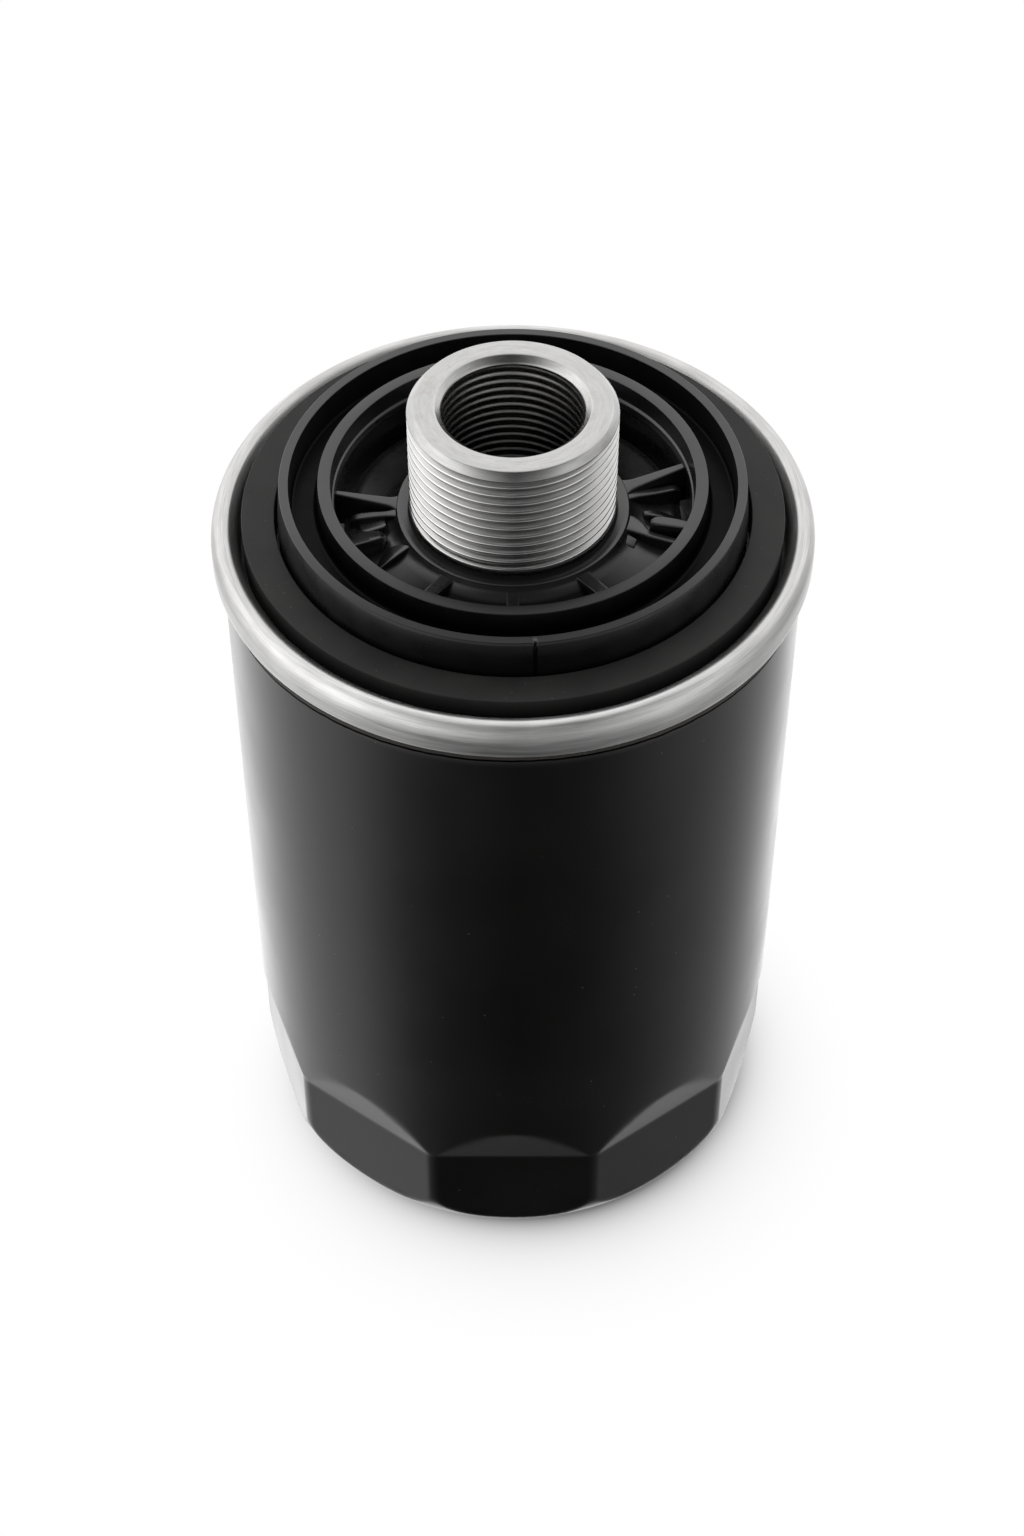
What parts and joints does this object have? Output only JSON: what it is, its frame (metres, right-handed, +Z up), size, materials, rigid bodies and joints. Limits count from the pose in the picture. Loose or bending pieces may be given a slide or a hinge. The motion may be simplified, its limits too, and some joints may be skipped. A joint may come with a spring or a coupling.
{
  "type": "oil filter",
  "caption": "Spin-on engine oil filter: painted steel can with wrench flats, rolled seam, rubber gasket, plastic inlet insert and threaded nipple.",
  "frame": {"origin": "centre of the base, on the surface that the can stands on", "axes": "+Z up along the can's axis towards the threaded nipple; -Y through the middle of one wrench flat"},
  "size_m": [0.076, 0.076, 0.123],
  "materials": {
    "can_paint": "satin black paint on drawn steel",
    "seam_zinc": "zinc-plated, brushed round",
    "sealant": "matte",
    "plate_steel": "plain rolled",
    "weld_steel": "fused, darker",
    "nipple_steel": "turned, zinc-plated",
    "gasket_rubber": "matte moulded",
    "insert_plastic": "moulded glass-filled nylon",
    "seal_rubber": "matte",
    "valve_rubber": "matte silicone or nitrile",
    "cap_steel": "yellow passivated sheet",
    "potting": "plastisol",
    "paper": "resin-treated, fibrous",
    "clip_steel": "plain",
    "tube_steel": "plain perforated sheet",
    "valve_steel": "pressed",
    "spring_steel": "drawn wire"
  },
  "bodies": {
    "housing": {"can": "can_paint", "seam_lid": "seam_zinc", "seam_sealant": "sealant", "base_plate": "plate_steel", "weld_spots": "weld_steel", "threaded_nipple": "nipple_steel", "outer_gasket": "gasket_rubber", "plastic_insert": "insert_plastic", "hub_seal": "seal_rubber", "element_spring": "spring_steel"},
    "element": {"element_seal": "seal_rubber", "upper_end_cap": "cap_steel", "upper_potting": "potting", "filter_paper": "paper", "paper_seam_clip": "clip_steel", "centre_tube": "tube_steel", "lower_potting": "potting", "lower_end_cap": "cap_steel", "bypass_seat": "valve_steel", "bypass_spring": "spring_steel", "bypass_cage": "valve_steel"},
    "bypass_valve": {"bypass_poppet": "valve_steel", "bypass_seal": "seal_rubber"},
    "drain_valve": {"anti_drain_valve": "valve_rubber"}
  },
  "joints": [
    {"name": "element_float", "type": "slide", "parent": "housing", "child": "element", "axis": [0, 0, -1], "range_m": [0, 0.0015], "stiffness_N_per_m": 2500, "springref_m": -0.008, "deforming": ["element_spring"]},
    {"name": "bypass_open", "type": "slide", "parent": "element", "child": "bypass_valve", "axis": [0, 0, 1], "range_m": [0, 0.0035], "stiffness_N_per_m": 3000, "springref_m": -0.008, "deforming": ["bypass_spring"]},
    {"name": "drain_valve_lift", "type": "slide", "parent": "housing", "child": "drain_valve", "axis": [0, 0, -1], "range_m": [0, 0.0015], "stiffness_N_per_m": 800, "springref_m": -0.002, "deforming": ["anti_drain_valve"]}
  ]
}
